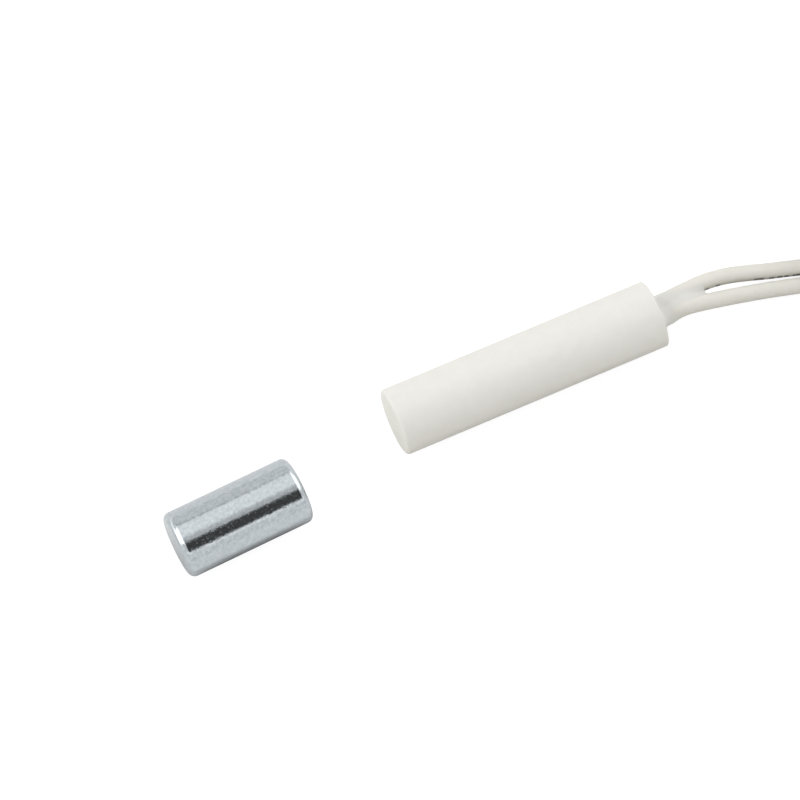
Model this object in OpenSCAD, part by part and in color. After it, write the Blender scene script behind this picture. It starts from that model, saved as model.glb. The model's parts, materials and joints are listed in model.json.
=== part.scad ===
// Recessed magnetic contact: a press-fit reed switch capsule with two leads, and its magnet.
// Millimetres. The capsule lies along X with the centre of its sensing face at the origin and
// its leads towards +X. +Z is up, and everything lies on a surface one capsule radius below.

/* [Capsule] */
// Outer diameter of the capsule, a press fit in a drilled hole
body_d = 6.35; // [6.2:0.05:9.5]
// Length of the capsule
body_l = 26.2; // [25:0.1:40]
// Thickness of the moulded side wall
side_wall = 0.6; // [0.4:0.05:0.65]
// Thickness of the moulded wall behind the sensing face
front_wall = 1; // [0.6:0.1:2]
// Radius of the round edge of the sensing face
front_round = 0.35; // [0.1:0.05:0.9]
// Radius of the edge at the open end
rim_round = 0.12; // [0.05:0.01:0.2]
// How far the cast resin stands out past the rim
resin_rise = 0.2; // [0.2:0.05:0.5]
// Radius of the edge of the resin there
resin_round = 0.2; // [0.1:0.05:0.2]
// Radius of the collar of resin that creeps up lead a
collar_a = 0.45; // [0.4:0.05:0.8]
// Radius of the collar of resin that creeps up lead b
collar_b = 0.8; // [0.4:0.05:0.8]

/* [Reed switch] */
// Diameter of the glass tube
glass_d = 2; // [1.8:0.05:2.2]
// Length of the glass tube
glass_l = 14; // [10:0.1:14.4]
// Wall of the glass tube round its chamber
glass_wall = 0.3; // [0.2:0.01:0.35]
// Length of the glass that is fused on each reed
seal_l = 1.6; // [1.2:0.1:2]
// Radius of the fused ends of the glass
glass_round = 0.45; // [0.2:0.05:0.45]
// Wall of the soft sleeve round the glass
sleeve_wall = 0.15; // [0.1:0.01:0.25]
// Length of glass that stands out of the sleeve at each end
sleeve_short = 0.5; // [0.2:0.1:1]
// Diameter of the reed's round wire
wire_d = 0.5; // [0.4:0.01:0.55]
// Length of wire outside the glass at each end
wire_out = 2.9; // [2.8:0.1:3.4]
// Width of the flattened blade
blade_w = 0.9; // [0.6:0.05:1]
// Thickness of the flattened blade
blade_t = 0.22; // [0.15:0.01:0.25]
// Length over which the two blades overlap
blade_overlap = 1; // [0.5:0.1:1.5]
// Open gap between the two blades
contact_gap = 0.12; // [0.1:0.01:0.15]

/* [Leads] */
// Diameter over the insulation of each lead
lead_d = 1.5; // [1.3:0.05:1.5]
// Diameter of the stranded copper core
core_d = 0.6; // [0.4:0.05:0.65]
// Distance between the two leads where they leave the capsule
lead_pitch = 1.55; // [1.55:0.05:1.6]
// Diameter of a solder joint
joint_d = 1.6; // [1.5:0.05:1.7]
// Length of a solder joint
joint_l = 2; // [1.8:0.1:2.2]
// Length of tinned strands bared at the free end of each lead
strip_l = 6; // [4:0.5:8]
// Diameter of the tinned strands
strands_d = 0.7; // [0.5:0.05:0.8]

/* [Hank] */
// Radius of the innermost end loop of the hank
fold_r = 4.5; // [4.5:0.1:6]
// Radius of the sweep from an end loop into the waist
waist_r = 8; // [7:0.5:12]
// Straight length of the waist under the tie
waist_l = 3; // [3:0.5:6]
// Width of the tie's strap
tie_w = 2.6; // [2:0.1:3]
// Thickness of the tie's strap
tie_t = 0.5; // [0.4:0.05:0.8]
// Length of the tie's head along the hank
head_l = 3.2; // [2.6:0.1:4]
// Width of the tie's head across the hank
head_w = 3.4; // [2.6:0.1:5]
// Height of the tie's head over its strap
head_h = 2.4; // [1.5:0.1:4]
// Length of the tie's cut end past its head
tie_end = 2.6; // [0.5:0.1:5]

/* [Magnet] */
// Diameter of the magnet
magnet_d = 6.3; // [5:0.05:9.5]
// Length of the magnet
magnet_l = 12.4; // [6:0.1:16]
// Radius of the magnet's tumbled edges
magnet_round = 0.65; // [0.2:0.05:1]
// Clear distance between the magnet and the sensing face as they lie
magnet_gap = 10.2; // [1:0.1:11]
// Offset of the magnet's centre across the capsule's axis
magnet_y = -2.58; // [-4:0.01:0]
// Turn of the magnet about the vertical
magnet_turn = 2.9; // [0:0.1:5]

/* [Hidden] */

$fn = 64;

// Clearance between cast, sleeved or soldered pieces
fit = 0.02;
// Clearance round the reeds, which rock a little
reed_fit = 0.06;
// How far a cutting shape runs past the face it cuts
past = 1;

body_r = body_d / 2;
bore_r = body_r - side_wall;
floor_z = -body_r;

glass_r = glass_d / 2;
sleeve_r = glass_r + sleeve_wall;
chamber_r = glass_r - glass_wall;
wire_r = wire_d / 2;
lead_r = lead_d / 2;
core_r = core_d / 2;
joint_r = joint_d / 2;
lead_y = lead_pitch / 2;

// The reed lies low enough for the cores to lap over its wires, and clear of lead b
reed_z = -(core_r + wire_r + reed_fit);
reed_y = sqrt(pow(sleeve_r + lead_r + 2 * fit, 2) - pow(reed_z, 2)) - lead_y;
// Resin between the front wall and the tip of the front reed's wire
front_resin = 0.9;
reed_x = front_wall + front_resin + wire_out;
blade_l = (glass_l - 2 * seal_l + blade_overlap) / 2;
blade_lift = (contact_gap + blade_t) / 2;
// Length over which the round wire is flattened into the blade
flatten_l = 1.2;
// Half thickness and half width of the blade's root
root_h = 0.2;

// Bare wire between the glass and a solder joint
bare_wire = 0.6;
joint_off = bare_wire + joint_l / 2;
front_joint_x = reed_x - joint_off;
rear_joint_x = reed_x + glass_l + joint_off;
joint_y = (lead_y + reed_y) / 2;
joint_z = reed_z / 2;
// Bare core between a solder joint and the lead's insulation
bare_core = 0.6;
lead_a_x = rear_joint_x + joint_l / 2 + bare_core;
// Lead a's core stops this far short of the far end of its solder joint
core_stop = 0.6;
core_a_x = rear_joint_x - joint_l / 2 + core_stop;

// Lead b passes the sleeved glass, and its bare core bends across the front reed's wire
core_bend_r = 1;
lead_b_x = front_joint_x + core_bend_r + bare_core / 2;

// Least thickness of resin at the top of a collar, and how far the collar's hollow dips
collar_edge = 0.07;
collar_dip = 0.03;

// Points of the free stretch of each lead: distance along X from the end face, Y, and the
// share of the drop from the capsule's axis to where a lead lies on the surface
LEAD_A = [
    [0, lead_y, 0],
    [1.2, lead_y + 0.01, 0],
    [2, lead_y + 0.05, 0.01],
    [3.1, 0.93, 0.04],
    [4.1, 1.03, 0.1],
    [5.1, 1.11, 0.165],
    [6.6, 1.135, 0.285],
    [8.2, 0.985, 0.43],
    [9.9, 0.66, 0.595],
    [11.7, 0.255, 0.775],
    [13.3, -0.1, 0.9],
    [14.9, -0.51, 0.98],
    [16.6, -1, 1],
    [18.4, -1.6, 0.98],
    [20.3, -2.2, 0.92],
    [22.2, -2.71, 0.84],
    [24.8, -3, 0.794]
];
LEAD_B = [
    [0, -lead_y, 0],
    [1.2, 0.01 - lead_y, -0.004],
    [2, 0.085 - lead_y, -0.09],
    [3.1, -0.69, -0.09],
    [4.1, -0.78, -0.02],
    [5.1, -0.875, 0.07],
    [6.6, -1.01, 0.25],
    [8.8, -1.265, 0.49],
    [11, -1.565, 0.715],
    [12.6, -1.85, 0.86],
    [14, -2.15, 0.945],
    [15.6, -2.57, 0.995],
    [17.3, -3.06, 1],
    [19, -3.58, 0.96],
    [20.7, -4.04, 0.9],
    [22.5, -4.37, 0.84],
    [24.8, -4.5, 0.794]
];
function lead_run(points) =
    [for (p = points) [body_l + p[0], p[1], p[2] * (floor_z + lead_r)]];

// The hank: two columns of turns, folded round two end loops and held at a narrow waist
hank_columns = 2;
hank_layers = 3;
hank_x = body_l + 24.8;
hank_y = 1.5;
waist_h = lead_r + fit;
sweep_r = fold_r + waist_r;
sweep_a = acos((waist_h + waist_r) / sweep_r);
hank_run = 2 * sweep_r * sin(sweep_a) + waist_l;
hank_mid = hank_x + hank_run / 2;
hank_z = floor_z + tie_t;
hank_h = hank_layers * lead_d;
hank_out = (hank_columns - 1) * lead_d + lead_r;
tail_z = hank_z + hank_h + lead_r;
// Angle at which each eye of the hank closes towards the waist
eye_a = 12;
// Turns past the tie and past the last end loop, where the two leads end
tail_a_turn = 10;
tail_b_turn = 10;

// Sides of a lead's tube
tube_sides = 8;

// Clear distance between magnet and face is measured at the magnet's nearer corner
magnet_r = magnet_d / 2;
magnet_reach = magnet_l / 2 * cos(magnet_turn) + (magnet_r - magnet_round) * sin(magnet_turn);
magnet_x = -magnet_gap - magnet_reach;
magnet_z = floor_z + magnet_r;

// Points of an arc in the XY plane
function arc(c, r, from, to, steps) =
    [
        for (i = [0:steps])
            let (a = from + (to - from) * i / steps)
            c + r * [cos(a), sin(a)]
    ];

// Centres of the end loops and of the sweeps into the waist, side is -1 or 1
function loop_at(side) = [hank_mid + side * hank_run / 2, hank_y];
function sweep_at(side, up) = [hank_mid + side * waist_l / 2, hank_y + up * (waist_h + waist_r)];

// The lower run of a turn at offset o from the innermost one, from end loop to end loop
function lower_run(o) = concat(
    arc(loop_at(-1), fold_r + o, 270, 270 + sweep_a, 4),
    arc(sweep_at(-1, -1), waist_r - o, 90 + sweep_a, 90, 3),
    arc(sweep_at(1, -1), waist_r - o, 90, 90 - sweep_a, 3),
    arc(loop_at(1), fold_r + o, 270 - sweep_a, 270, 4)
);

// A closed turn of the hank at offset o from the innermost one
function turn(o) =
    let (low = lower_run(o))
    let (right = arc(loop_at(1), fold_r + o, -90, 90, 12))
    let (left = arc(loop_at(-1), fold_r + o, 90, 270, 12))
    concat(
        low,
        right,
        [for (i = [len(low) - 1:-1:0]) [low[i][0], 2 * hank_y - low[i][1]]],
        left
    );

// Drops each point that lies on the one before it
function apart(points) = [
    for (i = [0:len(points) - 1])
        if (i == 0 || norm(points[i] - points[i - 1]) > fit)
            points[i]
];

// Lifts flat points to a height
function at_height(points, z) = [for (p = points) [p[0], p[1], z]];

// Direction of a line of points at point i
function along(points, i) =
    let (a = points[max(i - 1, 0)])
    let (b = points[min(i + 1, len(points) - 1)])
    (b - a) / norm(b - a);

// A round solid along X between two places
module x_rod(from, to, r, y = 0, z = 0) {
    translate([from, y, z])
        rotate([0, 90, 0])
            cylinder(r = r, h = to - from);
}

// Half the outline of a turned piece along Y, with a round edge at each end
module turned_outline(r, l, round_0, round_1) {
    square([r - round_0, l - round_1]);
    translate([0, round_0])
        square([r, l - round_0 - round_1]);
    translate([0, round_0])
        square([r - round_1, l - round_0]);
    translate([r - round_0, round_0])
        circle(round_0);
    translate([r - round_1, l - round_1])
        circle(round_1);
}

// Turns an outline drawn along Y about the X axis
module turned_along_x() {
    rotate([0, 90, 0])
        rotate_extrude()
            children();
}

// A solder joint: a short bar with round ends
module solder_bar(x, grow = 0) {
    flat_l = joint_l - joint_d;
    translate([x, joint_y, joint_z]) {
        x_rod(-flat_l / 2, flat_l / 2, joint_r + grow);
        for (side = [-1, 1])
            translate([side * flat_l / 2, 0, 0])
                sphere(joint_r + grow);
    }
}

// One reed from the inner face of its seal: the wire towards -X and the blade towards +X
module reed() {
    x_rod(-seal_l - wire_out, root_h, wire_r);
    intersection() {
        translate([0, blade_w, 0])
            rotate([90, 0, 0])
                linear_extrude(2 * blade_w)
                    polygon([
                        [0, -root_h],
                        [flatten_l, blade_lift - blade_t / 2],
                        [blade_l, blade_lift - blade_t / 2],
                        [blade_l, blade_lift + blade_t / 2],
                        [flatten_l, blade_lift + blade_t / 2],
                        [0, root_h]
                    ]);
        translate([0, 0, -blade_w])
            linear_extrude(2 * blade_w)
                polygon([
                    [0, -root_h],
                    [flatten_l, -blade_w / 2],
                    [blade_l, -blade_w / 2],
                    [blade_l, blade_w / 2],
                    [flatten_l, blade_w / 2],
                    [0, root_h]
                ]);
    }
}

// The round wires of both reeds outside the glass, with clearance
module wire_space() {
    x_rod(reed_x - wire_out - reed_fit, reed_x + past, wire_r + reed_fit, reed_y, reed_z);
    x_rod(
        reed_x + glass_l - past, reed_x + glass_l + wire_out + reed_fit,
        wire_r + reed_fit, reed_y, reed_z
    );
}

// Lead b's core, from its bend across the front reed's wire to a place on X
module core_b(r, to) {
    x_rod(front_joint_x + core_bend_r, to, r, -lead_y);
    translate([front_joint_x + core_bend_r, core_bend_r - lead_y, 0])
        rotate([0, 0, 180])
            rotate_extrude(angle = 90)
                translate([core_bend_r, 0])
                    circle(r);
    translate([front_joint_x, core_bend_r - lead_y, 0])
        rotate([-90, 0, 0])
            cylinder(r = r, h = reed_y + wire_r + lead_y - core_bend_r);
}

// The collar of resin of radius r that creeps up the lead at y, its hollow side outwards
module collar(y, r) {
    collar_w = lead_r + collar_edge + r;
    root = collar_dip + resin_round;
    translate([body_l + resin_rise - root, y, 0])
        turned_along_x()
            difference() {
                square([collar_w, root + r - collar_dip]);
                translate([collar_w, root + r - collar_dip])
                    circle(r);
            }
}

// A tube with flat sides, swept along points
module tube(points, r) {
    n = len(points);
    rings = [
        for (i = [0:n - 1])
            let (t = along(points, i))
            let (side = cross([0, 0, 1], t) / norm(cross([0, 0, 1], t)))
            let (up = cross(t, side))
            for (k = [0:tube_sides - 1])
                let (a = 360 * (k + 0.5) / tube_sides)
                points[i] + r * (cos(a) * side + sin(a) * up)
    ];
    sides = [
        for (i = [0:n - 2])
            for (k = [0:tube_sides - 1])
                let (next = (k + 1) % tube_sides)
                [
                    i * tube_sides + k,
                    (i + 1) * tube_sides + k,
                    (i + 1) * tube_sides + next,
                    i * tube_sides + next
                ]
    ];
    first = [for (k = [0:tube_sides - 1]) k];
    last = [for (k = [tube_sides - 1:-1:0]) (n - 1) * tube_sides + k];
    polyhedron(rings, concat([first], sides, [last]));
}

// The moulded capsule: a thin tube, closed at the sensing face
module housing() {
    color("whitesmoke")
        difference() {
            turned_along_x()
                turned_outline(body_r, body_l, front_round, rim_round);
            x_rod(front_wall, body_l + past, bore_r);
        }
}

// The resin that fills the capsule, with collars where the leads leave it
module potting() {
    color("ivory")
        difference() {
            union() {
                x_rod(front_wall + fit, body_l, bore_r - fit);
                translate([body_l - 2 * resin_round, 0, 0])
                    turned_along_x()
                        turned_outline(
                            bore_r - fit, 2 * resin_round + resin_rise, resin_round, resin_round
                        );
                collar(lead_y, collar_a);
                collar(-lead_y, collar_b);
            }
            x_rod(
                reed_x + sleeve_short - fit, reed_x + glass_l - sleeve_short + fit,
                sleeve_r + fit, reed_y, reed_z
            );
            x_rod(reed_x - fit, reed_x + glass_l + fit, glass_r + fit, reed_y, reed_z);
            wire_space();
            solder_bar(front_joint_x, fit);
            solder_bar(rear_joint_x, fit);
            x_rod(rear_joint_x, body_l + past, core_r + fit, lead_y);
            x_rod(lead_a_x - fit, body_l + 2 * past, lead_r + fit, lead_y);
            core_b(core_r + fit, body_l + past);
            x_rod(lead_b_x - fit, body_l + 2 * past, lead_r + fit, -lead_y);
        }
}

// The sealed glass tube round both blades
module reed_glass() {
    color("lightcyan")
        translate([reed_x, reed_y, reed_z])
            turned_along_x()
                difference() {
                    turned_outline(glass_r, glass_l, glass_round, glass_round);
                    translate([0, seal_l])
                        turned_outline(chamber_r, glass_l - 2 * seal_l, chamber_r / 2, chamber_r / 2);
                    translate([0, -past])
                        square([wire_r + reed_fit, glass_l + 2 * past]);
                }
}

// The soft sleeve that keeps the setting resin's pull off the glass
module glass_sleeve() {
    color("gainsboro")
        difference() {
            x_rod(reed_x + sleeve_short, reed_x + glass_l - sleeve_short, sleeve_r, reed_y, reed_z);
            x_rod(reed_x, reed_x + glass_l, glass_r + fit, reed_y, reed_z);
        }
}

// The reed at the sensing end, its blade above the gap
module front_reed() {
    color("silver")
        translate([reed_x + seal_l, reed_y, reed_z])
            reed();
}

// The reed at the lead end, its blade below the gap
module rear_reed() {
    color("silver")
        translate([reed_x + glass_l - seal_l, reed_y, reed_z])
            rotate([0, 180, 0])
                reed();
}

// Solder that joins lead b's core to the front reed
module front_joint() {
    color("lightslategray")
        difference() {
            solder_bar(front_joint_x);
            wire_space();
            core_b(core_r + fit, body_l);
        }
}

// Solder that joins lead a's core to the rear reed
module rear_joint() {
    color("lightslategray")
        difference() {
            solder_bar(rear_joint_x);
            wire_space();
            x_rod(core_a_x - fit, body_l, core_r + fit, lead_y);
        }
}

// Lead a's copper core, from its solder joint to the end face
module lead_a_core() {
    color("peru")
        x_rod(core_a_x, body_l, core_r, lead_y);
}

// Lead b's copper core, from its solder joint past the glass to the end face
module lead_b_core() {
    color("peru")
        core_b(core_r, body_l);
}

// Lead a's insulation inside the resin
module lead_a_inside() {
    color("linen")
        difference() {
            x_rod(lead_a_x, body_l, lead_r, lead_y);
            x_rod(lead_a_x - past, body_l + past, core_r + fit, lead_y);
        }
}

// Lead b's insulation inside the resin
module lead_b_inside() {
    color("linen")
        difference() {
            x_rod(lead_b_x, body_l, lead_r, -lead_y);
            x_rod(lead_b_x - past, body_l + past, core_r + fit, -lead_y);
        }
}

// Lead a from the end face to the hank
module lead_a_run() {
    color("linen")
        tube(lead_run(LEAD_A), lead_r);
}

// Lead b from the end face to the hank
module lead_b_run() {
    color("linen")
        tube(lead_run(LEAD_B), lead_r);
}

// The full layers of the hank, open at the eye of each end loop
module lead_hank() {
    color("linen")
        translate([0, 0, hank_z])
            difference() {
                linear_extrude(hank_h)
                    polygon(apart(turn(hank_out)));
                for (side = [-1, 1])
                    translate([0, 0, -past])
                        linear_extrude(hank_h + 2 * past)
                            polygon(eye(side));
            }
}

// Outline of the eye of one end loop, side is -1 or 1
function eye(side) =
    let (right = apart(concat(
        arc(sweep_at(1, -1), waist_r + lead_r, 90 - eye_a, 90 - sweep_a, 4),
        arc(loop_at(1), fold_r - lead_r, -90 - sweep_a, 90 + sweep_a, 24),
        arc(sweep_at(1, 1), waist_r + lead_r, sweep_a - 90, eye_a - 90, 4)
    )))
    [for (p = right) [hank_mid + side * (p[0] - hank_mid), p[1]]];

// Lead a's last stretch: along the hank's top, round the far loop and back past the tie
function tail_a() = apart(concat(
    lower_run(0),
    arc(loop_at(1), fold_r, -90, 90 + sweep_a, 8),
    arc(sweep_at(1, 1), waist_r, sweep_a - 90, -90, 3),
    arc(sweep_at(-1, 1), waist_r, -90, -90 - tail_a_turn, 1)
));

// Lead b's last stretch: along the hank's top to the far loop
function tail_b() = apart(concat(
    lower_run(lead_d),
    arc(loop_at(1), fold_r + lead_d, -90, tail_b_turn - 90, 1)
));

// The stretch of lead a that lies on the hank
module lead_a_tail() {
    color("linen")
        tube(at_height(tail_a(), tail_z), lead_r);
}

// The stretch of lead b that lies on the hank
module lead_b_tail() {
    color("linen")
        tube(at_height(tail_b(), tail_z), lead_r);
}

// The bared strands at the end of a lead, straight on from its last point
module strands(points) {
    n = len(points);
    t = along(points, n - 1);
    translate([points[n - 1][0], points[n - 1][1], tail_z])
        rotate([0, 0, atan2(t[1], t[0])])
            x_rod(0, strip_l, strands_d / 2);
}

// The tinned end of lead a
module lead_a_strands() {
    color("lightgray")
        strands(tail_a());
}

// The tinned end of lead b
module lead_b_strands() {
    color("lightgray")
        strands(tail_b());
}

// A rectangle with round corners, centred across and standing on the X axis
module rounded_box(w, h, r) {
    translate([-w / 2, r])
        square([w, h - 2 * r]);
    translate([r - w / 2, 0])
        square([w - 2 * r, h]);
    for (x = [r - w / 2, w / 2 - r], y = [r, h - r])
        translate([x, y])
            circle(r);
}

// The cable tie round the hank's waist, its head on top and its end cut short
module hank_tie() {
    inner_w = 2 * (waist_h + hank_out + fit);
    inner_h = hank_h + lead_d + fit;
    top = 2 * tie_t + inner_h;
    color("white")
        translate([hank_mid, hank_y, floor_z]) {
            translate([-tie_w / 2, 0, 0])
                rotate([90, 0, 90])
                    linear_extrude(tie_w)
                        difference() {
                            rounded_box(inner_w + 2 * tie_t, top, tie_t);
                            translate([-inner_w / 2, tie_t])
                                square([inner_w, inner_h]);
                        }
            translate([-head_l / 2, 0, top - tie_t])
                rotate([90, 0, 90])
                    linear_extrude(head_l)
                        rounded_box(head_w, head_h + tie_t, tie_t);
            translate([-tie_w / 2, 0, top + tie_t])
                cube([tie_w, head_w / 2 + tie_end, tie_t]);
        }
}

// The bare plated magnet, lying a little askew in front of the capsule
module magnet() {
    color("lightsteelblue")
        translate([magnet_x, magnet_y, magnet_z])
            rotate([0, 0, magnet_turn])
                translate([-magnet_l / 2, 0, 0])
                    turned_along_x()
                        turned_outline(magnet_r, magnet_l, magnet_round, magnet_round);
}

housing();
potting();
reed_glass();
glass_sleeve();
front_reed();
rear_reed();
front_joint();
rear_joint();
lead_a_core();
lead_b_core();
lead_a_inside();
lead_b_inside();
lead_a_run();
lead_b_run();
lead_hank();
lead_a_tail();
lead_b_tail();
lead_a_strands();
lead_b_strands();
hank_tie();
magnet();
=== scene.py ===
# Looks of the recessed magnetic contact: white capsule, its two leads, and its plated magnet.
# Sizes are in millimetres, as in part.scad, and become metres where a mesh is made.
import json
import math

import bmesh
import bpy
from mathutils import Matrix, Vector


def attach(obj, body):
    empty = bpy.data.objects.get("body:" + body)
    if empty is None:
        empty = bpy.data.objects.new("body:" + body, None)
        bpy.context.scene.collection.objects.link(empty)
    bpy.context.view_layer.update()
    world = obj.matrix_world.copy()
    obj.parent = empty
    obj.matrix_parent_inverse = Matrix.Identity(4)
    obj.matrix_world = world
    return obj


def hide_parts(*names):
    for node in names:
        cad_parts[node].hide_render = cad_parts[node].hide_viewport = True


MM = 0.001

# Sizes of the CAD model
BODY_R, BODY_L = 3.175, 26.2
FRONT_ROUND, RIM_ROUND = 0.35, 0.12
SIDE_WALL, FRONT_WALL = 0.6, 1
RESIN_RISE, RESIN_ROUND = 0.2, 0.2
BORE_R = BODY_R - SIDE_WALL
FLOOR_Z = -BODY_R
MAGNET_R, MAGNET_L, MAGNET_ROUND = 3.15, 12.4, 0.65
MAGNET_AT, MAGNET_TURN = (-16.5185, -2.58, FLOOR_Z + MAGNET_R), 2.9
LEAD_D, LEAD_Y = 1.5, 0.775
LEAD_R = LEAD_D / 2
STRIP_L, STRANDS_D = 6, 0.7
FOLD_R, WAIST_R, WAIST_L = 4.5, 8, 3
TIE_W, TIE_T, TIE_END = 2.6, 0.5, 2.6
HEAD_L, HEAD_W, HEAD_H = 3.2, 3.4, 2.4
FIT = 0.02

# Free points of each lead, as in part.scad: X from the end face, Y, share of the drop
DROP = FLOOR_Z + LEAD_R
LEAD_A = [
    (0, LEAD_Y, 0), (1.2, LEAD_Y + 0.01, 0), (2, LEAD_Y + 0.05, 0.01), (3.1, 0.93, 0.04),
    (4.1, 1.03, 0.1), (5.1, 1.11, 0.165), (6.6, 1.135, 0.285), (8.2, 0.985, 0.43),
    (9.9, 0.66, 0.595), (11.7, 0.255, 0.775), (13.3, -0.1, 0.9), (14.9, -0.51, 0.98),
    (16.6, -1, 1), (18.4, -1.6, 0.98), (20.3, -2.2, 0.92), (22.2, -2.71, 0.84),
    (24.8, -3, 0.794),
]
LEAD_B = [
    (0, -LEAD_Y, 0), (1.2, 0.01 - LEAD_Y, -0.004), (2, 0.085 - LEAD_Y, -0.09),
    (3.1, -0.69, -0.09), (4.1, -0.78, -0.02), (5.1, -0.875, 0.07), (6.6, -1.01, 0.25),
    (8.8, -1.265, 0.49), (11, -1.565, 0.715), (12.6, -1.85, 0.86), (14, -2.15, 0.945),
    (15.6, -2.57, 0.995), (17.3, -3.06, 1), (19, -3.58, 0.96), (20.7, -4.04, 0.9),
    (22.5, -4.37, 0.84), (24.8, -4.5, 0.794),
]

# The hank, as in part.scad
HANK_X, HANK_Y = BODY_L + 24.8, 1.5
HANK_LAYERS = 3
WAIST_H = LEAD_R + FIT
SWEEP_A = math.degrees(math.acos((WAIST_H + WAIST_R) / (FOLD_R + WAIST_R)))
HANK_RUN = 2 * (FOLD_R + WAIST_R) * math.sin(math.radians(SWEEP_A)) + WAIST_L
HANK_MID = HANK_X + HANK_RUN / 2
HANK_Z = FLOOR_Z + TIE_T
# A turn climbs to the next layer between these angles of the left loop
CLIMB_FROM, CLIMB_TO = 100, 215
# How far a tail follows its last loop before the bare strands
TAIL_TURN = 10

# The cast resin's skin on the leads, where along them it thins out, how far it then lies inside
# them, and the web that fills the valley between them
SKIN, SKIN_FROM, SKIN_TO, SKIN_END = 0.02, 1.2, 2.2, 0.02
WEB = 1.12
# Its fillet, as wide across and as long along the leads, beside lead a and beside lead b
FILLET_A, FILLET_B = (0.5, 0.5), (0.45, 0.8)
# It is a thin skin past the first of these distances from the end face, and deep and whiter
# before the second; that whiter deep part is also painted light, which lifts the shade in the
# corner beside the rim
THIN_FROM, DEEP_AND_LIT_TO = 1.9, 0.5

# Printed dashes on lead a: where each starts and ends from the end face
DASHES = [
    (5.2, 5.8), (6.5, 7), (10.25, 11.2), (11.65, 12.1), (12.4, 12.9), (13.05, 13.5), (13.85, 14.8),
]
# The side that they are on, and how squarely a point faces it where the ink starts and is full
DASH_SIDE = (-0.2, -0.95, -0.2)
DASH_FADES, DASH_FULL = 0.86, 0.92
INK = (0.05, 0.045, 0.03, 1)

# Camera, from a fit of both cylinders' outlines in the photograph; how near and how far it sees,
# in metres
CAMERA_AT = (-57.82, -130.101, 369.287)
CAMERA_AIM = (1.949, 2.94, -3.175)
CAMERA_LENS, CAMERA_SENSOR = 196.07, 36
CAMERA_NEAR, CAMERA_FAR = 0.01, 20

# The studio: soft-edged cards on the sky in slopes of X and of -Y over height, each with its
# soft edge and its level, a later one over an earlier one
SKY, FAR = 0.77, 99
CARDS = [
    # Low on the left, with duller parts in front and behind, and low on the right
    (-FAR, -2.8, -FAR, FAR, 0.2, 3.6),
    (-FAR, -2.8, 0, 1.4, 0.2, 1.2),
    (-FAR, -2.8, -FAR, -2.5, 0.3, 1.3),
    (3.2, 7, -FAR, 0.3, 0.2, 1.4),
    # The front, with a brighter strip where it starts
    (-FAR, FAR, 1.36, FAR, 0.05, 0.82),
    (-2.2, 3, 1.42, 1.85, 0.05, 1.15),
    # The panel overhead, the dark line behind it and its duller front
    (-2.2, 3, -0.98, 0.335, 0.03, 1.04),
    (-2.2, 3, -1.14, -0.98, 0.02, 0.45),
    (-2.2, 3, 0.03, 0.335, 0.08, 0.62),
    # The lamps to the left and to the right of its middle, and a dark strip past the right one
    (-2.4, -0.33, -0.98, 0.4, 0.03, 2.1),
    (0.45, 2.4, -1.2, 0.4, 0.03, 2.1),
    (2.4, 2.8, -1.07, 0.335, 0.03, 0.3),
    # The dark gap in front of the panel
    (-0.35, 0.6, 0.335, 1.36, 0.03, 0.06),
]
# A direction counts as at least this high, so that slopes stay finite
LOWEST = 0.02

# The pale floor's half width, its albedo and its glow as the camera sees it, and its albedo
# in all other light
FLOOR_HALF = 3000
FLOOR_SEEN, FLOOR_GLOW, FLOOR_ELSE = 0.2, 0.9, 0.75
# In that other light a painted shadow darkens it where a thing stands this near to it,
# on this side of it
FLOOR_SHADE_REACH, SHADE_SIDE = 5, (-0.5, 0.8, 0.4)
# Its colour in the diffuse light that it sends back
FLOOR_WARM = (1, 0.975, 0.89, 1)


def make_camera():
    """The photograph's camera."""
    data = bpy.data.cameras.new("camera")
    data.lens, data.sensor_width = CAMERA_LENS, CAMERA_SENSOR
    data.clip_start, data.clip_end = CAMERA_NEAR, CAMERA_FAR
    cam = bpy.data.objects.new("camera", data)
    bpy.context.scene.collection.objects.link(cam)
    at, aim = Vector(CAMERA_AT) * MM, Vector(CAMERA_AIM) * MM
    cam.location = at
    cam.rotation_mode = "QUATERNION"
    cam.rotation_quaternion = (aim - at).to_track_quat("-Z", "Y")
    bpy.context.scene.camera = cam


# Materials

def shader(name):
    """A new material, its node tree and its Principled shader."""
    mat = bpy.data.materials.new(name)
    mat.use_nodes = True
    tree = mat.node_tree
    return mat, tree, tree.nodes["Principled BSDF"]


def add(tree, kind, inputs=None, **settings):
    """A node with settings, and with inputs given as values or as sockets to link."""
    node = tree.nodes.new(kind)
    for key, value in settings.items():
        setattr(node, key, value)
    for key, value in (inputs or {}).items():
        if isinstance(value, bpy.types.NodeSocket):
            tree.links.new(value, node.inputs[key])
        else:
            node.inputs[key].default_value = value
    return node


def maths(tree, operation, *values):
    """The result of a sum, product or comparison of values or sockets."""
    inputs = dict(enumerate(values))
    return add(tree, "ShaderNodeMath", inputs, operation=operation).outputs[0]


def place(tree):
    """The point on the piece, in metres."""
    return add(tree, "ShaderNodeTexCoord").outputs["Object"]


def noise(tree, at, grain, detail=3.0, rough=0.5):
    """Noise with grains of a size in millimetres."""
    return add(
        tree, "ShaderNodeTexNoise",
        {"Vector": at, "Scale": 1 / (grain * MM), "Detail": detail, "Roughness": rough},
    ).outputs["Fac"]


def ramp(tree, fac, stops):
    """A colour ramp from (place, colour) pairs."""
    node = add(tree, "ShaderNodeValToRGB", {"Fac": fac})
    band = node.color_ramp
    while len(band.elements) < len(stops):
        band.elements.new(0.5)
    for element, (at, colour) in zip(band.elements, stops):
        element.position = at
        element.color = (*colour, 1)
    return node.outputs["Color"]


def spread(tree, fac, low, high):
    """Maps a noise value from 0.3 to 0.7 onto low to high."""
    return add(
        tree, "ShaderNodeMapRange",
        {"Value": fac, "From Min": 0.3, "From Max": 0.7, "To Min": low, "To Max": high},
    ).outputs["Result"]


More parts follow.
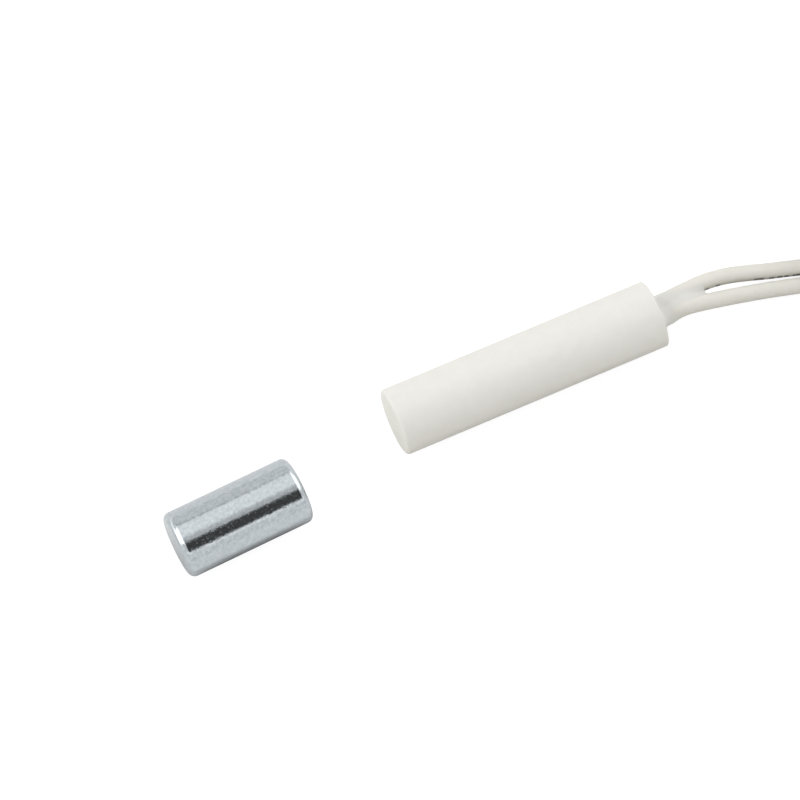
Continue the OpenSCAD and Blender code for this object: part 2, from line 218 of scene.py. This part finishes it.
def relief(tree, bsdf, at, *layers):
    """Bump from layers of noise, each a grain in millimetres and a height in microns."""
    height = None
    for grain, microns in layers:
        layer = maths(tree, "MULTIPLY", noise(tree, at, grain), microns * 1e-6)
        height = layer if height is None else maths(tree, "ADD", height, layer)
    node = add(tree, "ShaderNodeBump", {"Height": height, "Distance": 1.0, "Strength": 1.0})
    tree.links.new(node.outputs["Normal"], bsdf.inputs["Normal"])


def surface(name, light, dark, rough, grain, *layers, metallic=0.0):
    """A mottled colour, an uneven gloss and a relief; grain is the mottling's, in millimetres."""
    mat, tree, bsdf = shader(name)
    at = place(tree)
    tree.links.new(
        ramp(tree, noise(tree, at, grain, 4, 0.6), [(0.3, dark), (0.7, light)]),
        bsdf.inputs["Base Color"],
    )
    tree.links.new(
        spread(tree, noise(tree, at, grain / 2), rough * 0.85, rough * 1.15),
        bsdf.inputs["Roughness"],
    )
    relief(tree, bsdf, at, *layers)
    bsdf.inputs["Metallic"].default_value = metallic
    return mat, tree, bsdf


def plastic(name, light, dark, rough, *layers, soft=0.0):
    """A plastic, rubber or resin; soft is how much light it lets in."""
    mottle, depth = 1.1, 0.4
    mat, _, bsdf = surface(name, light, dark, rough, mottle, *layers)
    bsdf.inputs["Specular IOR Level"].default_value = 0.4
    bsdf.inputs["Subsurface Weight"].default_value = soft
    bsdf.inputs["Subsurface Radius"].default_value = (1.0, 0.9, 0.75)
    bsdf.inputs["Subsurface Scale"].default_value = depth * MM
    return mat


def metal(name, light, dark, rough, grain, *layers):
    """A bare metal, with the mottling's grain in millimetres."""
    return surface(name, light, dark, rough, grain, *layers, metallic=1.0)[0]


def glass(name):
    """Clear, faintly green glass."""
    mat, _, bsdf = surface(
        name, (0.93, 0.98, 0.96), (0.86, 0.95, 0.91), 0.03, 1.5, (0.8, 1)
    )
    bsdf.inputs["IOR"].default_value = 1.5
    bsdf.inputs["Transmission Weight"].default_value = 1.0
    return mat


def plating(name):
    """Bright tumbled plate: fine bumps, with small duller specks."""
    mat, tree, bsdf = surface(
        name, (0.645, 0.692, 0.715), (0.51, 0.555, 0.585), 0.1, 0.35,
        (0.9, 4), (0.3, 5), (0.15, 6), (0.08, 3), metallic=1.0,
    )
    specks = add(tree, "ShaderNodeMapRange", {
        "Value": noise(tree, place(tree), 0.18, 2.0), "From Min": 0.46, "From Max": 0.72,
        "To Min": 0.07, "To Max": 0.28,
    })
    tree.links.new(specks.outputs["Result"], bsdf.inputs["Roughness"])
    return mat


def resin(name):
    """Cast resin, whiter where it is deep than as a thin skin on the leads; the whiter deep part
    is also painted light in the shaded corner by the rim.
    """
    mat = plastic(
        name, (0.675, 0.67, 0.64), (0.645, 0.64, 0.605), 0.38, (0.9, 14), (0.2, 1.5), soft=0.35
    )
    tree = mat.node_tree
    bsdf = tree.nodes["Principled BSDF"]
    colour = bsdf.inputs["Base Color"].links[0].from_socket
    along = add(tree, "ShaderNodeSeparateXYZ", {"Vector": place(tree)}).outputs["X"]
    # Whiter towards the rim: the resin's depth, and also painted light that lifts the corner's
    # shade
    deep_and_painted_light = add(tree, "ShaderNodeMapRange", {
        "Value": along,
        "From Min": (BODY_L + THIN_FROM) * MM, "From Max": (BODY_L + DEEP_AND_LIT_TO) * MM,
    }, interpolation_type="SMOOTHSTEP").outputs["Result"]
    mix = add(tree, "ShaderNodeMix", {0: deep_and_painted_light, 6: colour}, data_type="RGBA")
    mix.inputs[7].default_value = (0.715, 0.71, 0.68, 1)
    tree.links.new(mix.outputs[2], bsdf.inputs["Base Color"])
    return mat


def printed(name, base):
    """A copy of a material with dark printed dashes on one side of lead a."""
    mat = base.copy()
    mat.name = name
    tree = mat.node_tree
    bsdf = tree.nodes["Principled BSDF"]
    colour = bsdf.inputs["Base Color"].links[0].from_socket
    across = add(tree, "ShaderNodeSeparateXYZ", {"Vector": place(tree)}).outputs["X"]
    ink = None
    for start, end in DASHES:
        middle, half = BODY_L + (start + end) / 2, (end - start) / 2
        dash = maths(tree, "COMPARE", across, middle * MM, half * MM)
        ink = dash if ink is None else maths(tree, "MAXIMUM", ink, dash)
    normal = add(tree, "ShaderNodeNewGeometry").outputs["Normal"]
    facing = add(
        tree, "ShaderNodeVectorMath",
        {0: normal, 1: Vector(DASH_SIDE).normalized()}, operation="DOT_PRODUCT",
    ).outputs["Value"]
    side = add(
        tree, "ShaderNodeMapRange",
        {"Value": facing, "From Min": DASH_FADES, "From Max": DASH_FULL},
    ).outputs["Result"]
    worn = spread(tree, noise(tree, place(tree), 0.25), 0.35, 0.95)
    mask = maths(tree, "MULTIPLY", maths(tree, "MULTIPLY", ink, side), worn)
    mix = add(tree, "ShaderNodeMix", {0: mask, 6: colour}, data_type="RGBA")
    mix.inputs[7].default_value = INK
    tree.links.new(mix.outputs[2], bsdf.inputs["Base Color"])
    return mat


def make_materials():
    """Every material by the name of its slot, and the printed lead's."""
    lead_pvc = plastic(
        "lead_pvc", (0.685, 0.67, 0.622), (0.655, 0.64, 0.583), 0.42,
        (1.3, 10), (0.15, 1), soft=0.1,
    )
    return {
        "housing_plastic": plastic(
            "housing_plastic", (0.72, 0.71, 0.677), (0.695, 0.684, 0.645), 0.5,
            (1.5, 12), (0.3, 2), (0.06, 1), soft=0.1,
        ),
        "potting_resin": resin("potting_resin"),
        "reed_glass": glass("reed_glass"),
        "sleeve_silicone": plastic(
            "sleeve_silicone", (0.72, 0.72, 0.72), (0.66, 0.66, 0.66), 0.55, (0.6, 5)
        ),
        "reed_alloy": metal(
            "reed_alloy", (0.68, 0.67, 0.64), (0.58, 0.57, 0.55), 0.25, 1, (0.1, 1)
        ),
        "solder": metal(
            "solder", (0.6, 0.61, 0.62), (0.48, 0.49, 0.5), 0.3, 0.5, (0.3, 6), (0.08, 1)
        ),
        "copper": metal(
            "copper", (0.85, 0.42, 0.26), (0.7, 0.32, 0.2), 0.3, 0.5, (0.2, 3)
        ),
        "lead_pvc": lead_pvc,
        "lead_pvc_printed": printed("lead_pvc_printed", lead_pvc),
        "tinned_strands": metal(
            "tinned_strands", (0.72, 0.73, 0.74), (0.6, 0.61, 0.62), 0.28, 0.5, (0.1, 1.5)
        ),
        "tie_nylon": plastic(
            "tie_nylon", (0.82, 0.82, 0.79), (0.79, 0.79, 0.76), 0.42,
            (0.8, 6), (0.1, 1), soft=0.15,
        ),
        "magnet_plate": plating("magnet_plate"),
    }


# Meshes

def mesh_of(name, points, faces, tidy=True, sharp=None):
    """A smooth mesh from points in millimetres, with edges sharper than an angle kept."""
    mesh = bpy.data.meshes.new(name)
    mesh.from_pydata([Vector(p) * MM for p in points], [], faces)
    if tidy:
        bm = bmesh.new()
        bm.from_mesh(mesh)
        bmesh.ops.recalc_face_normals(bm, faces=bm.faces)
        bm.to_mesh(mesh)
        bm.free()
    mesh.shade_smooth()
    if sharp:
        mesh.set_sharp_from_angle(angle=math.radians(sharp))
    return mesh


def piece(name, mesh, slot, mats, body, *nodes):
    """A new object that rides on a body, wears a slot's material and stands for CAD nodes."""
    obj = bpy.data.objects.new(name, mesh)
    bpy.context.scene.collection.objects.link(obj)
    mesh.materials.append(mats[slot])
    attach(obj, body)
    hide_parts(*nodes)
    return obj


def bridge(faces, first, second, around):
    """Faces between two closed rings of points that start at the given numbers."""
    for k in range(around):
        n = (k + 1) % around
        faces.append((first + k, first + n, second + n, second + k))


def rings_mesh(rings, closed=True):
    """Points and faces of a tube through rings of the same number of points."""
    around = len(rings[0])
    points = [p for ring in rings for p in ring]
    faces = []
    for i in range(len(rings) - 1):
        bridge(faces, i * around, (i + 1) * around, around)
    if closed:
        faces.append(list(range(around)))
        faces.append([len(points) - around + k for k in range(around)])
    return points, faces


def shells(*parts):
    """Several shells of points and faces as one."""
    points, faces = [], []
    for part_points, part_faces in parts:
        base = len(points)
        points += part_points
        faces += [[base + i for i in face] for face in part_faces]
    return points, faces


def turned(profile, around=192):
    """A solid of revolution about X from (x, r) pairs, first and last on the axis."""
    rings = [
        [
            (x, r * math.cos(2 * math.pi * k / around), r * math.sin(2 * math.pi * k / around))
            for k in range(around)
        ]
        for x, r in profile[1:-1]
    ]
    points, faces = rings_mesh(rings, closed=False)
    for x, start, flip in ((profile[0][0], 0, 1), (profile[-1][0], len(points) - around, -1)):
        points.append((x, 0, 0))
        for k in range(around):
            fan = (len(points) - 1, start + (k + 1) % around, start + k)
            faces.append(fan[::flip])
    return points, faces


def arc(cx, cy, r, start, end, steps):
    """Points of an arc, angles in degrees."""
    out = []
    for i in range(steps + 1):
        a = math.radians(start + (end - start) * i / steps)
        out.append((cx + r * math.cos(a), cy + r * math.sin(a)))
    return out


def line(a, b, steps):
    """Points from a to b without the ends, so that long faces stay near square."""
    return [
        (a[0] + (b[0] - a[0]) * i / steps, a[1] + (b[1] - a[1]) * i / steps)
        for i in range(1, steps)
    ]


def make_housing(mats):
    """The moulded tube, closed at the sensing face; lip is its bore's small edge radius."""
    flat, lip = BODY_R - FRONT_ROUND, 0.05
    profile = [(0, 0)] + line((0, 0), (0, flat), 8)
    profile += arc(FRONT_ROUND, flat, FRONT_ROUND, 180, 90, 10)
    profile += line((FRONT_ROUND, BODY_R), (BODY_L - RIM_ROUND, BODY_R), 40)
    profile += arc(BODY_L - RIM_ROUND, BODY_R - RIM_ROUND, RIM_ROUND, 90, 0, 6)
    profile += arc(BODY_L - lip, BORE_R + lip, lip, 0, -90, 4)
    profile += [(FRONT_WALL + lip, BORE_R), (FRONT_WALL, BORE_R - lip), (FRONT_WALL, 0)]
    mesh = mesh_of("capsule_shell", *turned(profile))
    piece("capsule_shell", mesh, "housing_plastic", mats, "capsule", "housing")


def make_magnet(mats):
    """The plated cylinder with tumbled edges, as it lies in front of the capsule."""
    half, flat = MAGNET_L / 2, MAGNET_R - MAGNET_ROUND
    left, right = MAGNET_ROUND - half, half - MAGNET_ROUND
    profile = [(-half, 0)] + line((-half, 0), (-half, flat), 8)
    profile += arc(left, flat, MAGNET_ROUND, 180, 90, 14)
    profile += line((left, MAGNET_R), (right, MAGNET_R), 24)
    profile += arc(right, flat, MAGNET_ROUND, 90, 0, 14)
    profile += line((half, flat), (half, 0), 8) + [(half, 0)]
    points, faces = turned(profile, around=256)
    c, s = math.cos(math.radians(MAGNET_TURN)), math.sin(math.radians(MAGNET_TURN))
    x0, y0, z0 = MAGNET_AT
    points = [(x0 + x * c - y * s, y0 + x * s + y * c, z0 + z) for x, y, z in points]
    piece(
        "magnet_plated", mesh_of("magnet_plated", points, faces), "magnet_plate", mats,
        "magnet", "magnet",
    )


def eased(value, start, end):
    """0 up to start and 1 from end on, with a smooth step in between."""
    t = min(max((value - start) / (end - start), 0), 1)
    return t * t * (3 - 2 * t)


# Leads

def centre(side):
    """X of the middle of the hank's left (-1) or right (1) loop."""
    return HANK_MID + side * HANK_RUN / 2


def sweep(side, up):
    """Middle of the sweep from a loop into the waist, above (1) or below (-1) the hank."""
    return HANK_MID + side * WAIST_L / 2, HANK_Y + up * (WAIST_H + WAIST_R)


def lower_run(o):
    """The lower run of a turn at offset o from the innermost one."""
    r, w = FOLD_R + o, WAIST_R - o
    return (
        arc(centre(-1), HANK_Y, r, 270, 270 + SWEEP_A, 3)
        + arc(*sweep(-1, -1), w, 90 + SWEEP_A, 90, 3)[1:]
        + arc(*sweep(1, -1), w, 90, 90 - SWEEP_A, 3)
        + arc(centre(1), HANK_Y, r, 270 - SWEEP_A, 270, 3)[1:]
    )


def hank_turn(o, layer):
    """One turn at a layer, which climbs to the next one on the left loop."""
    z = HANK_Z + LEAD_R + layer * LEAD_D
    low = lower_run(o)
    flat = low[:-1] + arc(centre(1), HANK_Y, FOLD_R + o, -90, 90, 8)[:-1]
    flat += [(x, 2 * HANK_Y - y) for x, y in reversed(low)][:-1]
    out = [(x, y, z) for x, y in flat]
    steps = 12
    for i in range(steps):
        turn = 90 + 180 * i / steps
        a = math.radians(turn)
        out.append((
            centre(-1) + (FOLD_R + o) * math.cos(a),
            HANK_Y + (FOLD_R + o) * math.sin(a),
            z + LEAD_D * eased(turn, CLIMB_FROM, CLIMB_TO),
        ))
    return out


def tail(o):
    """The last stretch of a lead, which lies on the hank's top."""
    z = HANK_Z + HANK_LAYERS * LEAD_D + LEAD_R
    flat = lower_run(o)
    if o:
        flat = flat[:-1] + arc(centre(1), HANK_Y, FOLD_R + o, -90, TAIL_TURN - 90, 1)
    else:
        flat = flat[:-1] + arc(centre(1), HANK_Y, FOLD_R, -90, 90 + SWEEP_A, 10)
        flat += arc(*sweep(1, 1), WAIST_R, SWEEP_A - 90, -90, 3)[1:]
        flat += arc(*sweep(-1, 1), WAIST_R, -90, -90 - TAIL_TURN, 1)
    return [(x, y, z) for x, y in flat]


def lead_path(points, o):
    """A lead's whole way: its free points, its turns at an offset, and its tail."""
    path = [(BODY_L + x, y, share * DROP) for x, y, share in points[:-1]]
    for layer in range(HANK_LAYERS):
        path += hank_turn(o, layer)
    return path + tail(o)


def make_lead(name, path, mat):
    """A round tube on one smooth spline through the path's points."""
    curve = bpy.data.curves.new(name, "CURVE")
    curve.dimensions = "3D"
    curve.bevel_depth, curve.bevel_resolution = LEAD_R * MM, 6
    curve.resolution_u = 6
    curve.use_fill_caps = True
    spline = curve.splines.new("BEZIER")
    spline.bezier_points.add(len(path) - 1)
    for point, at in zip(spline.bezier_points, path):
        point.co = Vector(at) * MM
        point.handle_left_type = point.handle_right_type = "AUTO"
    obj = bpy.data.objects.new(name, curve)
    bpy.context.scene.collection.objects.link(obj)
    curve.materials.append(mat)
    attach(obj, "capsule")
    return obj


def make_strands(name, path, mats, node):
    """Seven tinned strands with a slow twist, straight on from the end of a lead."""
    end, before = Vector(path[-1]), Vector(path[-2])
    ahead = (end - before).normalized()
    side = ahead.cross(Vector((0, 0, 1))).normalized()
    up = side.cross(ahead)
    strand_r, strands, twist = STRANDS_D / 6, 7, 400
    sides, steps, apart = 10, 40, 60
    parts = []
    for s in range(strands):
        off = 0 if s == strands - 1 else 2 * strand_r
        rings = []
        for i in range(steps + 1):
            turn = math.radians(apart * s + twist * i / steps)
            c = end + ahead * (STRIP_L * i / steps)
            c = c + side * (off * math.cos(turn)) + up * (off * math.sin(turn))
            rings.append([
                c + (side * math.cos(a) + up * math.sin(a)) * strand_r
                for a in (2 * math.pi * k / sides for k in range(sides))
            ])
        parts.append(rings_mesh(rings))
    mesh = mesh_of(name, *shells(*parts), sharp=50)
    return piece(name, mesh, "tinned_strands", mats, "capsule", node)


def make_leads(mats):
    """Both leads as cords, each with its bare strands."""
    for letter, points, o, y, slot in (
        ("a", LEAD_A, 0, LEAD_Y, "lead_pvc_printed"), ("b", LEAD_B, LEAD_D, -LEAD_Y, "lead_pvc")
    ):
        path = lead_path(points, o)
        lead = make_lead("lead_" + letter, path, mats[slot])
        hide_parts(f"lead_{letter}_run", f"lead_{letter}_tail", "lead_hank")
        bare = make_strands(f"strands_{letter}", path, mats, f"lead_{letter}_strands")


# The cast resin and its collar round the leads

def lead_at(points, dx):
    """Y and Z of a lead at a distance from the end face, on a smooth curve."""
    rows = [(x, y, share * DROP) for x, y, share in points]
    i = max(j for j in range(len(rows) - 1) if rows[j][0] <= max(dx, 0))
    a, b = rows[i], rows[i + 1]
    before, after = rows[max(i - 1, 0)], rows[i + 2]
    t = (max(dx, 0) - a[0]) / (b[0] - a[0])
    out = []
    for axis in (1, 2):
        m0 = (b[axis] - before[axis]) / (b[0] - before[0]) * (b[0] - a[0])
        m1 = (after[axis] - a[axis]) / (after[0] - a[0]) * (b[0] - a[0])
        out.append(
            (2 * t**3 - 3 * t**2 + 1) * a[axis] + (t**3 - 2 * t**2 + t) * m0
            + (3 * t**2 - 2 * t**3) * b[axis] + (t**3 - t**2) * m1
        )
    return out


def blend_min(a, b, k):
    """The smaller of two distances, with a blend over k where they are alike."""
    h = max(k - abs(a - b), 0) / k
    return min(a, b) - h * h * k / 4


def resin_gap(dx, y, z):
    """Distance of a point from the resin's skin round both leads, below 0 inside it."""
    (ya, za), (yb, zb) = lead_at(LEAD_A, dx), lead_at(LEAD_B, dx)
    skin = SKIN - (SKIN + SKIN_END) * eased(dx, SKIN_FROM, SKIN_TO)
    near = blend_min(math.hypot(y - ya, z - za), math.hypot(y - yb, z - zb), WEB)
    return near - LEAD_R - skin


def between_leads(dx):
    """Y and Z of the middle between both leads."""
    (ya, za), (yb, zb) = lead_at(LEAD_A, dx), lead_at(LEAD_B, dx)
    return (ya + yb) / 2, (za + zb) / 2


def resin_reach(dx, a):
    """Distance of the skin from the middle of the leads in a direction."""
    y0, z0 = between_leads(dx)
    widest, halvings = 3.0, 24
    low, high = 0.0, widest
    for _ in range(halvings):
        r = (low + high) / 2
        if resin_gap(dx, y0 + r * math.cos(a), z0 + r * math.sin(a)) < 0:
            low = r
        else:
            high = r
    return low


def welded(points, faces):
    """The same mesh with points that coincide made one, and each open loop closed by a face."""
    numbers = {}
    index = [numbers.setdefault(tuple(round(c, 4) for c in p), len(numbers)) for p in points]
    whole, edges = [], set()
    for face in faces:
        face = [index[i] for i in face]
        face = [v for v, before in zip(face, face[-1:] + face) if v != before]
        if len(face) > 2:
            whole.append(face)
            edges.update(zip(face, face[1:] + face[:1]))
    ahead = {b: a for a, b in edges if (b, a) not in edges}
    while ahead:
        loop = [min(ahead)]
        after = ahead.pop(loop[0])
        while after in ahead:
            loop.append(after)
            after = ahead.pop(after)
        if after == loop[0] and len(loop) > 2:
            whole.append(loop)
    return list(numbers), whole


def resin_column(a, out_r, fork):
    """The resin's end at one angle, over its edge, face and fillet to the fork of the leads.

    Each point is its distance from the end face and from the middle between the leads.
    """
    edge_steps, face_steps, fillet_steps, skin_steps = 8, 5, 14, 40
    blend = (1 - math.cos(a)) / 2
    wide, tall = (p + (q - p) * blend for p, q in zip(FILLET_A, FILLET_B))
    foot = resin_reach(RESIN_RISE, a) + wide
    edge = min(RESIN_ROUND, out_r - foot - FIT)
    column = []
    for i in range(edge_steps):
        b = math.pi / 2 * i / edge_steps
        dx = RESIN_RISE - RESIN_ROUND + RESIN_ROUND * math.sin(b)
        column.append((dx, out_r - edge * (1 - math.cos(b))))
    for i in range(face_steps):
        column.append((RESIN_RISE, out_r - edge + (foot - out_r + edge) * i / face_steps))
    for i in range(fillet_steps):
        b = math.pi / 2 * i / fillet_steps
        dx = RESIN_RISE + tall * (1 - math.cos(b))
        column.append((dx, resin_reach(dx, a) + wide * (1 - math.sin(b))))
    start = RESIN_RISE + tall
    for i in range(skin_steps + 1):
        dx = start + (fork - start) * i / skin_steps
        column.append((dx, resin_reach(dx, a)))
    return column


def make_resin(mats, cad):
    """The CAD fill with its end redrawn: a raised face that creeps up both leads."""
    out_r = BORE_R - FIT
    end = BODY_L + RESIN_RISE - RESIN_ROUND
    kept = [
        list(f.vertices) for f in cad.polygons
        if min(cad.vertices[v].co.x for v in f.vertices) < (end - FIT / 2) * MM
    ]
    fill = [(min(v.co.x / MM, end), v.co.y / MM, v.co.z / MM) for v in cad.vertices]
    # The new surface starts on the corners of the CAD fill's edge, two more columns in between
    corners = {
        round(math.atan2(z, y), 3): (x, y, z)
        for (x, y, z), v in zip(fill, cad.vertices)
        if abs(v.co.x / MM - end) < FIT / 2 and math.hypot(y, z) > out_r - FIT / 2
    }
    turns = sorted(corners)
    angles = []
    for a, b in zip(turns, turns[1:] + [turns[0] + 2 * math.pi]):
        angles += [a, a + (b - a) / 3, b - (b - a) / 3]
    around = len(angles)
    # It ends where the web does, at the fork between the leads
    fork, step = 3.0, 0.05
    while resin_gap(fork + step, *between_leads(fork + step)) < 0:
        fork += step
    rings = []
    for row in zip(*(resin_column(a, out_r, fork) for a in angles)):
        ring = []
        for a, (dx, r) in zip(angles, row):
            y0, z0 = between_leads(dx)
            ring.append((BODY_L + dx, y0 + r * math.cos(a), z0 + r * math.sin(a)))
        rings.append(ring)
    # Its first ring, and the slivers between that and the straight sides of the CAD fill
    rings[0][::3] = [corners[a] for a in turns]
    points, faces = rings_mesh(rings, closed=False)
    faces += [[k, (k + 3) % around, k + 2, k + 1] for k in range(0, around, 3)]
    mesh = mesh_of(
        "resin_cast", *welded(*shells((points, faces), (fill, kept))), tidy=False, sharp=40
    )
    piece("resin_cast", mesh, "potting_resin", mats, "capsule", "potting")


# The cable tie

def strap_section(depth):
    """Half width and height of points round a strap, its toothed track down by depth."""
    w, t, edge, track, slope = TIE_W / 2, TIE_T / 2, 0.1, 0.8, 0.05
    half = [
        (w - edge, -t), (w, edge - t), (w, t - edge), (w - edge, t), (track, t),
        (track - slope, t - depth),
    ]
    return half + [(-x, n) for x, n in reversed(half)]


def strap(path, normals):
    """A strap swept along points of the YZ plane, its toothed side along the normals."""
    pitch, tooth, base = 0.55, 0.1, 0.05
    rings, run = [], 0.0
    for i, ((y, z), (ny, nz)) in enumerate(zip(path, normals)):
        if i:
            run += math.hypot(y - path[i - 1][0], z - path[i - 1][1])
        depth = base + tooth * (run / pitch % 1)
        rings.append([
            (HANK_MID + x, HANK_Y + y + n * ny, FLOOR_Z + z + n * nz)
            for x, n in strap_section(depth)
        ])
    return rings


def strap_loop(half_w, low, high, r):
    """Points and outward normals of a rounded loop, at steps finer than a tooth."""
    step, steps = 0.11, 12
    path, normals = [], []
    corners = (
        (half_w - r, low + r, -90), (half_w - r, high - r, 0),
        (r - half_w, high - r, 90), (r - half_w, low + r, 180),
    )
    for i, (cy, cz, start) in enumerate(corners):
        for k in range(steps + 1):
            a = math.radians(start + 90 * k / steps)
            path.append((cy + r * math.cos(a), cz + r * math.sin(a)))
            normals.append((math.cos(a), math.sin(a)))
        ny, nz, next_start = *corners[(i + 1) % 4][:2], math.radians(start + 90)
        goal = (ny + r * math.cos(next_start), nz + r * math.sin(next_start))
        count = int(math.dist(path[-1], goal) / step)
        for point in line(path[-1], goal, count):
            path.append(point)
            normals.append((math.cos(next_start), math.sin(next_start)))
    return path, normals


def rounded_ring(w, l, r, z):
    """A ring of a rounded rectangle, w along X and l along Y, at a height."""
    out = []
    for sx, sy, start in ((1, 1, 0), (-1, 1, 90), (-1, -1, 180), (1, -1, 270)):
        for x, y in arc(sx * (w / 2 - r), sy * (l / 2 - r), r, start, start + 90, 5):
            out.append((HANK_MID + x, HANK_Y + y, FLOOR_Z + z))
    return out


def make_tie(mats):
    """A small cable tie: its loop round the waist, its cut-off end and its head."""
    inner_w = 2 * (WAIST_H + LEAD_D + LEAD_R + FIT)
    inner_h = (HANK_LAYERS + 1) * LEAD_D + FIT
    top = 2 * TIE_T + inner_h
    inner_round = 0.6
    bend = inner_round + TIE_T / 2
    loop = strap(*strap_loop((inner_w + TIE_T) / 2, TIE_T / 2, top - TIE_T / 2, bend))
    points, faces = rings_mesh(loop, closed=False)
    bridge(faces, len(points) - len(loop[0]), 0, len(loop[0]))
    reach, steps = HEAD_W / 2 + TIE_END, 40
    run = [(reach * i / steps, top + 1.5 * TIE_T) for i in range(steps + 1)]
    end = rings_mesh(strap(run, [(0, 1)] * len(run)))
    edge, mouth, pocket = 0.3, 0.75, 0.9
    head = rings_mesh([
        rounded_ring(HEAD_L - edge, HEAD_W - edge, 0.35, top - TIE_T),
        rounded_ring(HEAD_L, HEAD_W, 0.5, top - TIE_T + edge / 2),
        rounded_ring(HEAD_L, HEAD_W, 0.5, top + HEAD_H - edge),
        rounded_ring(HEAD_L - edge / 2, HEAD_W - edge / 2, 0.42, top + HEAD_H - edge / 3),
        rounded_ring(HEAD_L - edge, HEAD_W - edge, 0.35, top + HEAD_H),
        rounded_ring(HEAD_L - 2 * mouth, HEAD_W - 2 * mouth, 0.2, top + HEAD_H),
        rounded_ring(HEAD_L - 2 * pocket, HEAD_W - 2 * pocket, 0.15, top + HEAD_H - pocket),
    ])
    mesh = mesh_of("cable_tie", *shells((points, faces), end, head), sharp=35)
    piece("cable_tie", mesh, "tie_nylon", mats, "capsule", "hank_tie")


# Floor and light

def make_floor():
    """An endless pale floor, which isn't part of the object."""
    half = FLOOR_HALF * MM
    mesh = bpy.data.meshes.new("floor")
    corners = [(-half, -half), (half, -half), (half, half), (-half, half)]
    mesh.from_pydata([(x, y, FLOOR_Z * MM) for x, y in corners], [], [(0, 1, 2, 3)])
    mat, tree, bsdf = shader("floor")
    path = add(tree, "ShaderNodeLightPath").outputs
    seen = path["Is Camera Ray"]
    side = add(tree, "ShaderNodeCombineXYZ", dict(enumerate(Vector(SHADE_SIDE).normalized())))
    # Painted shadow: occlusion towards one side darkens the floor's albedo in all but camera light
    painted_shade = add(
        tree, "ShaderNodeAmbientOcclusion",
        {"Distance": FLOOR_SHADE_REACH * MM, "Normal": side.outputs[0]}, samples=6,
    )
    albedo = add(
        tree, "ShaderNodeMapRange", {
            "Value": seen, "To Max": FLOOR_SEEN,
            "To Min": maths(tree, "MULTIPLY", painted_shade.outputs["AO"], FLOOR_ELSE),
        },
    ).outputs["Result"]
    warm = add(tree, "ShaderNodeMix", {0: path["Is Diffuse Ray"]}, data_type="RGBA")
    warm.inputs[6].default_value, warm.inputs[7].default_value = (1, 1, 1, 1), FLOOR_WARM
    colour = add(
        tree, "ShaderNodeVectorMath", {0: warm.outputs[2], 1: albedo}, operation="MULTIPLY",
    ).outputs["Vector"]
    tree.links.new(colour, bsdf.inputs["Base Color"])
    bsdf.inputs["Roughness"].default_value = 0.9
    bsdf.inputs["Specular IOR Level"].default_value = 0.0
    bsdf.inputs["Emission Color"].default_value = (1, 1, 1, 1)
    tree.links.new(maths(tree, "MULTIPLY", seen, FLOOR_GLOW), bsdf.inputs["Emission Strength"])
    mesh.materials.append(mat)
    floor = bpy.data.objects.new("floor", mesh)
    bpy.context.scene.collection.objects.link(floor)


def inside(tree, value, low, high, soft):
    """1 between low and high, with soft edges."""
    up = add(tree, "ShaderNodeMapRange", {
        "Value": value, "From Min": low - soft, "From Max": low + soft,
    }, interpolation_type="SMOOTHSTEP").outputs["Result"]
    down = add(tree, "ShaderNodeMapRange", {
        "Value": value, "From Min": high - soft, "From Max": high + soft,
        "To Min": 1.0, "To Max": 0.0,
    }, interpolation_type="SMOOTHSTEP").outputs["Result"]
    return maths(tree, "MULTIPLY", up, down)


def make_light():
    """A soft white studio all round, with panels overhead and a dark gap in front of them."""
    world = bpy.data.worlds.new("studio")
    bpy.context.scene.world = world
    world.use_nodes = True
    tree = world.node_tree
    ray = add(tree, "ShaderNodeSeparateXYZ", {
        "Vector": add(tree, "ShaderNodeTexCoord").outputs["Generated"]
    }).outputs
    height = maths(tree, "MAXIMUM", ray["Z"], LOWEST)
    across = maths(tree, "DIVIDE", ray["X"], height)
    front = maths(tree, "DIVIDE", maths(tree, "MULTIPLY", ray["Y"], -1.0), height)
    level = SKY
    for x0, x1, y0, y1, soft, value in CARDS:
        card = maths(
            tree, "MULTIPLY",
            inside(tree, across, x0, x1, soft), inside(tree, front, y0, y1, soft),
        )
        level = add(
            tree, "ShaderNodeMix", {0: card, 2: level, 3: value}, data_type="FLOAT"
        ).outputs[0]
    tree.links.new(level, tree.nodes["Background"].inputs["Strength"])
    tree.nodes["Background"].inputs["Color"].default_value = (1, 1, 1, 1)


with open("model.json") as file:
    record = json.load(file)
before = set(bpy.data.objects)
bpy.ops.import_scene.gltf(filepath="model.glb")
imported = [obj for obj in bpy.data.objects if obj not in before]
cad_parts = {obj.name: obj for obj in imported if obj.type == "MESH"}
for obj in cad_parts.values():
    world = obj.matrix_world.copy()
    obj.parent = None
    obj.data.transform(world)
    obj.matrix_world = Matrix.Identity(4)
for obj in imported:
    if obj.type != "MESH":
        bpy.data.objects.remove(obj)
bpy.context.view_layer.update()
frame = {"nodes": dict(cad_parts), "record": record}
make_camera()
materials = make_materials()
make_leads(materials)

for row in frame["record"]["subparts"]:
    node = frame["nodes"][row["node"]]
    node.data.materials.clear()
    node.data.materials.append(materials[row["material_slot"]])

make_housing(materials)
make_resin(materials, frame["nodes"]["potting"].data)
make_magnet(materials)
make_tie(materials)
make_floor()
make_light()
bpy.context.scene.view_settings.view_transform = "Standard"
